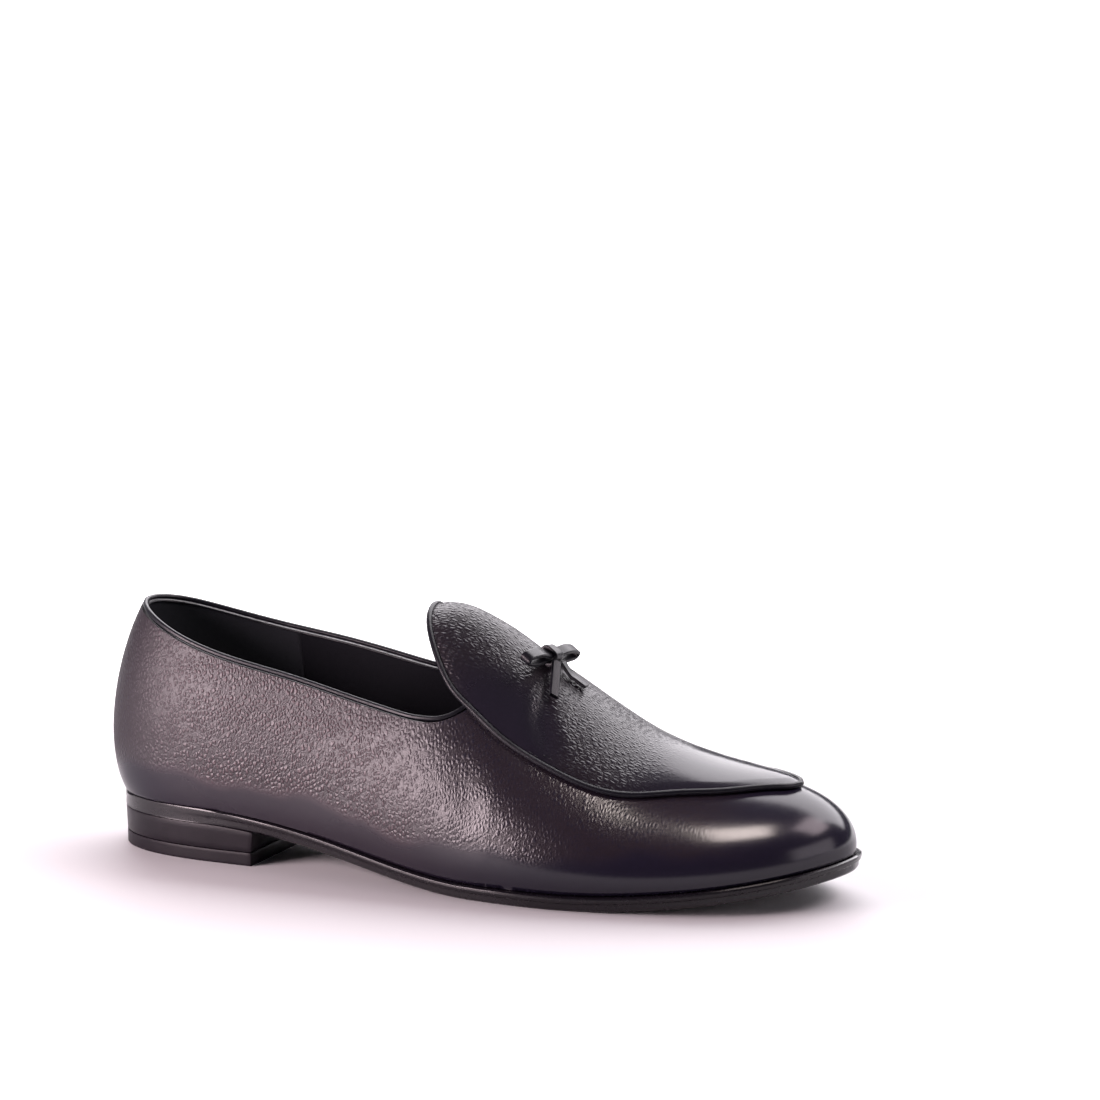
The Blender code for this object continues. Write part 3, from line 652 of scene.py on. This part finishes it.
END_CURVE = 24 * MM
FOOT_MIDDLE = 12 * MM
BORDER_HEIGHT = 12.5 * MM
BORDER_WAVES = ((1.6 * MM, 95, 0.0), (0.9 * MM, 233, 1.0))
BORDER_FADE = (3.0 * MM, 3.5 * MM)
TOE_POLISH = (98 * MM, 126 * MM)
VAMP_GLOSS = (0.0, 48 * MM)
TOE_GLOSS = (40 * MM, 95 * MM)
VAMP_DARK = (-18 * MM, 38 * MM)
# Painted shade at the heel's back: full behind the first place, gone past the second.
HEEL_SHADE = (-134 * MM, -88 * MM)
HEEL_DULL = 12 * MM
# Each crease is a line of places in millimetres, its width and its depth.
UPPER_CREASES = (
    (((8, -38, 52), (16, -44, 38), (20, -47, 26)), 6.0 * MM, 0.30 * MM),
    (((112, -27, 30), (124, -20, 28.5), (134, -10, 28)), 1.8 * MM, 0.16 * MM),
    (((126, -20, 24), (136, -12, 23), (145, 0, 22)), 1.8 * MM, 0.20 * MM),
    (((136, -14, 18), (144, -5, 18.5), (148, 4, 20)), 1.6 * MM, 0.14 * MM),
)


def is_inside(points, normals):
    """True where a face of the hollow upper looks in towards the foot."""
    low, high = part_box("upper")
    width = (high.x - low.x) / HEIGHT_GROUPS
    centre_y = np.zeros(len(points))
    for i, along in enumerate(points[:, 0]):
        near = np.abs(points[:, 0] - along) < width
        centre_y[i] = (points[near, 1].min() + points[near, 1].max()) / 2
    heel_side = np.minimum(points[:, 0] - (low.x + END_CURVE), 0)
    toe_side = np.maximum(points[:, 0] - (high.x - END_CURVE), 0)
    away = np.empty_like(points)
    away[:, 0] = heel_side + toe_side
    away[:, 1] = points[:, 1] - centre_y
    away[:, 2] = points[:, 2] - sole_height(points[:, 0]) - FOOT_MIDDLE
    return np.einsum("ij,ij->i", away, normals) < 0


def set_upper_shares(mesh):
    """Polish at the toe and along a wavy border above the sole; darker towards the vamp, and painted shade
    at the heel's back.
    """
    along, _, up = points_of(mesh).T
    above = up - sole_height(along)
    border = BORDER_HEIGHT + sum(
        height * np.sin(along * turns + start) for height, turns, start in BORDER_WAVES
    )
    low_band = 1 - rise(above, border - BORDER_FADE[0], border + BORDER_FADE[1])
    toe = rise(along, *TOE_POLISH)
    gloss = 0.7 * rise(along + up * 0.4, *VAMP_GLOSS) + 0.3 * rise(along, *TOE_GLOSS)
    front = rise(along + up * 0.5, *VAMP_DARK)
    # Painted shade on the heel's back, carried in one share with the darker vamp.
    heel_shade = 1 - rise(along + up * 0.1, *HEEL_SHADE)
    set_share(mesh, "polish", np.maximum(low_band, toe))
    set_share(mesh, "gloss", np.maximum(low_band, gloss))
    # One share: darker towards the vamp, and painted shade at the heel's back.
    set_share(mesh, "vamp_dark_and_heel_shade", np.maximum(front, heel_shade))
    set_share(mesh, "dull", heel_shade * rise(above, border, border + HEEL_DULL))


def build_upper():
    obj = copy_of("upper", "upper_leather")
    mesh = obj.data
    centres = np.array([face.center for face in mesh.polygons])
    facing = np.array([face.normal for face in mesh.polygons])
    for face, inner in zip(mesh.polygons, is_inside(centres, facing)):
        face.material_index = 1 if inner else 0
    smooth(obj, studio().level)
    press_creases(obj, UPPER_CREASES)
    set_upper_shares(obj.data)
    shade(obj)
    c = colours()
    outer = grained_leather(
        "quarter_leather", c.quarter, c.vamp, c.mottle_and_valley_shade, c.burnish, (1.2, 0.45, 0.8), (0, 0.35, 0), 0.40
    )
    lining = lining_leather()
    finish_piece(obj, [outer, lining], ["upper"])


def lining_leather():
    """Smooth lining with a napped grip inside the heel, ending at an upright seam."""
    r = Recipe("lining_leather")
    place = r.place()
    c = colours()
    along = r.node("ShaderNodeSeparateXYZ", {"Vector": place}).outputs[0]
    grip = r.between(along, GRIP_END - 0.2 * MM, GRIP_END + 0.2 * MM, 1.0, 0.0)
    nap = r.noise(place, 1500.0, 4.0, 0.7).outputs[0]
    seam = r.math("ABSOLUTE", r.math("SUBTRACT", along, GRIP_END))
    groove = r.between(seam, 0.0, 0.8 * MM)
    pores = r.between(r.cells(place, 1300.0), 0.0, 0.4)
    height = r.math("MULTIPLY", pores, 0.02 * MM)
    height = r.math("ADD", height, r.math("MULTIPLY", groove, 0.25 * MM))
    napped = r.mix(nap, rgba([v * 0.7 for v in c.grip]), rgba([v * 1.3 for v in c.grip]))
    r.set(Base_Color=r.mix(grip, rgba(c.lining), napped))
    r.set(Roughness=r.math("ADD", r.math("MULTIPLY", grip, 0.3), 0.5), Normal=r.bump(height))
    r.set(Coat_Weight=0.0)
    return r.material


# Apron

EDGE_PULL = (2.0 * MM, 4.5 * MM)
TIP_POLISH = (60 * MM, 95 * MM)
PATCH_MIDDLE = (24 * MM, -30 * MM)
PATCH_SPAN = (20 * MM, 14 * MM)
PATCH_FADE = (0.45, 1.5)
PATCH_POLISH = 0.85
APRON_CREASES = (
    (((34, -9, 73), (36.5, -22.5, 64), (45, -33, 50)), 3.6 * MM, 0.80 * MM),
    (((27, -10, 76), (19, -22, 71), (14, -32, 64)), 4.5 * MM, 0.50 * MM),
)


def build_apron():
    obj = copy_of("apron", "apron_leather")
    smooth(obj, studio().level + 1)
    mesh = obj.data
    points = points_of(mesh)
    cord = even_steps(ring_path("apron_piping"), 1.0 * MM)
    tree = KDTree(len(cord))
    for index, place in enumerate(cord):
        tree.insert(place, index)
    tree.balance()
    near = [tree.find(point) for point in points]
    edge = np.array([found[2] for found in near])
    middle = np.array([found[0][:] for found in near])
    reach = (1 - rise(edge, *EDGE_PULL)) * np.maximum(edge - CORD_HIDE, 0)
    toward = (middle - points) / np.maximum(edge, MERGE)[:, None]
    points = points + toward * reach[:, None]
    set_points(mesh, points)
    press_creases(obj, APRON_CREASES)
    tip = rise(points[:, 0], *TIP_POLISH)
    beside = np.hypot(*((points[:, :2] - PATCH_MIDDLE) / PATCH_SPAN).T)
    patch = (1 - rise(beside, *PATCH_FADE)) * PATCH_POLISH
    set_share(mesh, "polish", np.maximum(tip, patch))
    set_share(mesh, "gloss", np.maximum(tip, patch))
    shade(obj)
    c = colours()
    leather = grained_leather(
        "apron_leather", c.apron, c.apron, c.mottle_and_valley_shade, c.apron, (0.62, 1.35, 0.8), (0, 0, 0), 0.36
    )
    finish_piece(obj, [leather], ["apron"])


# Piping, binding and their stitches

STITCHES_IN = 3.4 * MM
FOLD_DOWN = 2.4 * MM
FOLD_STEP = 3.0 * MM


def build_trim():
    c = colours()
    trim = smooth_leather("trim_leather", c.trim, 0.36)
    for node in ("apron_piping", "collar_binding"):
        obj = copy_of(node, node + "_leather")
        smooth(obj, 2)
        shade(obj)
        finish_piece(obj, [trim], [node])
    upper = surface_tree(bpy.data.objects["upper_leather"])
    apron = surface_tree(bpy.data.objects["apron_leather"])
    collar = ring_path("collar_binding")
    seam = ring_path("apron_piping")
    thread = smooth_leather("thread", [v * 1.5 for v in c.trim], 0.5, coat=0.0)
    turn = winding(seam)
    build_stitches("apron_stitches", seam, apron, turn, STITCHES_IN, thread)
    fold = even_steps(collar, FOLD_STEP)
    points, _, _ = beside_line(fold, upper, outer_side(fold, upper), FOLD_DOWN, 0.0)
    edge = sweep("collar_fold", points, sizes().fold_cord / 2)
    finish_piece(edge, [trim])


def winding(line):
    """1 or -1, so that a step across a flat loop goes inwards."""
    area = np.sum(line[:, 0] * np.roll(line[:, 1], -1) - np.roll(line[:, 0], -1) * line[:, 1])
    return -1 if area > 0 else 1


def outer_side(line, tree):
    """1 or -1, so that a step across the rim goes down the outer face."""
    points, _, _ = beside_line(line, tree, 1, FOLD_STEP, 0)
    return 1 if np.mean([p.z for p in points]) < line[:, 2].mean() else -1


# Sole, heel and insole

SOCK_ROUND = 0.5 * MM


def build_sole():
    c = colours()
    sole = copy_of("outsole", "sole_leather")
    points = points_of(sole.data)
    drop = sole_height(points[:, 0]) - points[:, 2]
    tuck = np.interp(drop, WELT_DROPS, WELT_REACH) * (1 - rise(points[:, 0], *HEEL_TUCK))
    out = points[:, :2] - np.array(HEEL_MIDDLE)
    out /= np.maximum(np.linalg.norm(out, axis=1, keepdims=True), MERGE)
    points[:, :2] -= out * tuck[:, None]
    set_points(sole.data, points)
    smooth(sole, 2, SOLE_RIDGE)
    round_edges(sole, sizes().edge_round, angle=SOLE_RIDGE)
    shade(sole, ROUND_SHADE)
    finish_piece(sole, [edge_ink("sole_ink", c.sole, 0.26, 0.6)], ["outsole"])


def build_heel():
    c = colours()
    stack = copy_of("heel_stack", "heel_leather")
    smooth(stack, 2)
    round_edges(stack, sizes().edge_round)
    shade(stack)
    finish_piece(stack, [edge_ink("heel_ink", c.heel, 0.36, 0.1)], ["heel_stack"])
    lift = copy_of("top_lift", "top_lift_rubber")
    smooth(lift, 2)
    round_edges(lift, sizes().edge_round)
    shade(lift)
    finish_piece(lift, [edge_ink("lift_rubber", c.heel, 0.42, 0.0)], ["top_lift"])


def build_insole():
    sock = copy_of("insole", "sock_leather")
    smooth(sock, 2)
    round_edges(sock, SOCK_ROUND)
    shade(sock)
    leather = smooth_leather("sock_leather", colours().lining, 0.5, coat=0.0)
    finish_piece(sock, [leather], ["insole"])


# Bow

THONG_ROUND = 0.45 * MM
THONG_EDGE = math.radians(50)


def build_bow():
    leather = smooth_leather("bow_leather", colours().trim, 0.40)
    for node in ("bow_loops", "bow_knot", "bow_tail_outer", "bow_tail_front"):
        obj = copy_of(node, node + "_leather")
        round_edges(obj, THONG_ROUND, segments=3, angle=THONG_EDGE)
        smooth(obj, 1, ROUND_SHADE)
        shade(obj, ROUND_SHADE)
        finish_piece(obj, [leather], [node])


# Studio

# Each soft box has its name, the only piece that it lights or None, its place and target, its
# width, height and power in watts, and its tint.
SOFT_BOXES = (
    ("wall", None, (0.0, 1.6, 1.5), (0, 0, 0.1), 3.5, 1.9, 88.0, (1.0, 0.96, 1.0)),
    (
        "band", "upper_leather", (0.206, -0.144, 0.41), (0.118, -0.03, 0.03), 0.18, 0.12, 1.05,
        (1.0, 0.87, 0.82),
    ),
    ("spot", None, (0.75, 0.18, 0.80), (0.137, 0, 0.03), 0.42, 0.42, 2.6, (1.0, 0.84, 0.90)),
    ("left", None, (-0.53, -0.54, 0.23), (-0.05, -0.03, 0.1), 0.40, 0.36, 7.4, (1.0, 0.81, 0.86)),
    ("right_low", None, (1.4, -0.1, 0.3), (0.1, 0, 0.05), 1.0, 0.6, 2.6, (1.0, 0.90, 0.97)),
)
FLOOR_SIZE = 40.0
SHADOW_SPAN = (0.15, 0.052)
FRONT = (0.397, -0.918, 0.0)
# Painted dark reflection: along FRONT, between these two distances, the floor that the shoe mirrors fades
# from the first share of its colour to the second.
DARK_REFLECTION_SPAN = (0.22, 0.30)
DARK_REFLECTION_SHARES = (0.75, 0.03)
GLOW_NEAR = (1.1, 1.9, 0.0, 0.06)
GLOW_FAR = (1.8, 8.0, 0.0, 1.0)
GLOW_TINT = (1.0, 0.99, 1.0, 1.0)
BLACK = (0.0, 0.0, 0.0, 1.0)
SKY_AXIS = (0.0, 0.55, 0.83)
SKY_LIGHT = (0.04, 0.12)
SKY_TINT = (0.88, 0.88, 1.0, 1.0)


def aim(obj, target):
    obj.rotation_euler = (Vector(target) - obj.location).to_track_quat("-Z", "Y").to_euler()


def soft_box(name, lit, place, target, width, height, power, tint):
    """Hangs one soft box from the rows of SOFT_BOXES."""
    bpy.ops.object.light_add(type="AREA", location=place)
    lamp = bpy.context.active_object
    lamp.name = name
    lamp.data.shape = "RECTANGLE"
    lamp.data.size = width
    lamp.data.size_y = height
    lamp.data.energy = power
    lamp.data.color = tint
    lamp.visible_camera = False
    if lit:
        group = bpy.data.collections.new(name)
        group.objects.link(bpy.data.objects[lit])
        lamp.light_linking.receiver_collection = group
    aim(lamp, target)


def build_floor():
    """A pale, over-lit floor, glowing farther off. The shoe mirrors it only as far as a line in front of it;
    past that line the floor is black to every ray but the camera's, a painted dark reflection.
    """
    bpy.ops.object.select_all(action="DESELECT")
    bpy.ops.mesh.primitive_plane_add(size=FLOOR_SIZE, location=(0, 0, 0))
    floor = bpy.context.active_object
    floor.name = "pale_floor"
    r = Recipe("pale_floor")
    place = r.stretched(r.place(), (1 / SHADOW_SPAN[0], 1 / SHADOW_SPAN[1], 1.0))
    away = r.node("ShaderNodeVectorMath", {0: place}, operation="LENGTH").outputs["Value"]
    near = r.between(away, *GLOW_NEAR)
    far = r.between(away, *GLOW_FAR)
    forward = r.node(
        "ShaderNodeVectorMath", {0: r.place(), 1: FRONT}, operation="DOT_PRODUCT"
    ).outputs["Value"]
    seen = r.node("ShaderNodeLightPath").outputs["Is Camera Ray"]
    # Painted dark reflection: only camera rays always see the pale floor.
    floor_in_reflections = r.between(forward, *DARK_REFLECTION_SPAN, *DARK_REFLECTION_SHARES)
    floor_in_reflections = r.math("MAXIMUM", floor_in_reflections, seen)
    paint = r.mix(floor_in_reflections, BLACK, rgba(colours().floor))
    r.set(Base_Color=paint, Roughness=0.6, Specular_IOR_Level=0.2)
    glow = r.math("MULTIPLY", r.math("ADD", near, far), floor_in_reflections)
    r.set(Emission_Color=GLOW_TINT, Emission_Strength=glow)
    floor.data.materials.append(r.material)


def build_world():
    """Dim room: a little light from above and from behind the shoe."""
    world = bpy.data.worlds.new("studio")
    bpy.context.scene.world = world
    world.use_nodes = True
    tree = world.node_tree
    background = tree.nodes["Background"]
    coord = tree.nodes.new("ShaderNodeTexCoord")
    facing = tree.nodes.new("ShaderNodeVectorMath")
    facing.operation = "DOT_PRODUCT"
    facing.inputs[1].default_value = SKY_AXIS
    tree.links.new(coord.outputs["Generated"], facing.inputs[0])
    ramp = tree.nodes.new("ShaderNodeMapRange")
    tree.links.new(facing.outputs["Value"], ramp.inputs["Value"])
    ramp.inputs["From Min"].default_value = 0.1
    ramp.inputs["To Min"].default_value = SKY_LIGHT[0]
    ramp.inputs["To Max"].default_value = SKY_LIGHT[1]
    tree.links.new(ramp.outputs[0], background.inputs["Strength"])
    background.inputs["Color"].default_value = SKY_TINT


def build_lights():
    build_world()
    for row in SOFT_BOXES:
        soft_box(*row)


def build_camera():
    s = studio()
    bpy.ops.object.camera_add(location=s.eye)
    camera = bpy.context.active_object
    ahead = Vector((
        -math.sin(s.heading) * math.cos(s.dip),
        math.cos(s.heading) * math.cos(s.dip),
        -math.sin(s.dip),
    ))
    camera.rotation_euler = ahead.to_track_quat("-Z", "Y").to_euler()
    camera.data.lens = s.lens
    camera.data.sensor_width = 36.0
    camera.data.clip_start = 0.05
    camera.data.clip_end = 60.0
    bpy.context.scene.camera = camera


class LOAFER_OT_upper(bpy.types.Operator):
    """Make the upper's leather and lining."""

    bl_idname = "loafer.upper"
    bl_label = "Upper"

    def execute(self, context):
        build_upper()
        return {"FINISHED"}


class LOAFER_OT_apron(bpy.types.Operator):
    """Make the apron and its tongue."""

    bl_idname = "loafer.apron"
    bl_label = "Apron"

    def execute(self, context):
        build_apron()
        return {"FINISHED"}


class LOAFER_OT_trim(bpy.types.Operator):
    """Make the piping, the binding, their fold and stitches."""

    bl_idname = "loafer.trim"
    bl_label = "Piping and binding"

    def execute(self, context):
        build_trim()
        return {"FINISHED"}


class LOAFER_OT_sole(bpy.types.Operator):
    """Make the leather sole."""

    bl_idname = "loafer.sole"
    bl_label = "Sole"

    def execute(self, context):
        build_sole()
        return {"FINISHED"}


class LOAFER_OT_heel(bpy.types.Operator):
    """Make the stacked heel and its top lift."""

    bl_idname = "loafer.heel"
    bl_label = "Heel"

    def execute(self, context):
        build_heel()
        return {"FINISHED"}


class LOAFER_OT_insole(bpy.types.Operator):
    """Make the sock leather over the insole."""

    bl_idname = "loafer.insole"
    bl_label = "Insole"

    def execute(self, context):
        build_insole()
        return {"FINISHED"}


class LOAFER_OT_bow(bpy.types.Operator):
    """Make the thong bow."""

    bl_idname = "loafer.bow"
    bl_label = "Bow"

    def execute(self, context):
        build_bow()
        return {"FINISHED"}


class LOAFER_OT_studio(bpy.types.Operator):
    """Set the floor, lights and camera."""

    bl_idname = "loafer.studio"
    bl_label = "Studio"

    def execute(self, context):
        build_floor()
        build_lights()
        build_camera()
        context.scene.view_settings.view_transform = "Standard"
        return {"FINISHED"}


OPERATORS = (
    LOAFER_OT_upper,
    LOAFER_OT_apron,
    LOAFER_OT_trim,
    LOAFER_OT_sole,
    LOAFER_OT_heel,
    LOAFER_OT_insole,
    LOAFER_OT_bow,
    LOAFER_OT_studio,
)


class LOAFER_PT_panel(bpy.types.Panel):
    """The loafer's pieces, sizes and colours."""

    bl_idname = "LOAFER_PT_panel"
    bl_label = "Loafer"
    bl_space_type = "VIEW_3D"
    bl_region_type = "UI"
    bl_category = "Loafer"

    def draw(self, context):
        for operator in OPERATORS:
            self.layout.operator(operator.bl_idname)
        for group in (context.scene.loafer_sizes, context.scene.loafer_colours, context.scene.loafer_studio):
            box = self.layout.box()
            for name in group.__annotations__:
                box.prop(group, name)


CLASSES = (LoaferSizes, LoaferColours, StudioSettings, *OPERATORS, LOAFER_PT_panel)


def register():
    for item in CLASSES:
        bpy.utils.register_class(item)
    bpy.types.Scene.loafer_sizes = PointerProperty(type=LoaferSizes)
    bpy.types.Scene.loafer_colours = PointerProperty(type=LoaferColours)
    bpy.types.Scene.loafer_studio = PointerProperty(type=StudioSettings)


def unregister():
    del bpy.types.Scene.loafer_studio
    del bpy.types.Scene.loafer_colours
    del bpy.types.Scene.loafer_sizes
    for item in reversed(CLASSES):
        bpy.utils.unregister_class(item)


def main():
    register()
    bpy.ops.loafer.upper()
    bpy.ops.loafer.apron()
    bpy.ops.loafer.trim()
    bpy.ops.loafer.sole()
    bpy.ops.loafer.heel()
    bpy.ops.loafer.insole()
    bpy.ops.loafer.bow()
    bpy.ops.loafer.studio()


if __name__ == "__main__":
    main()
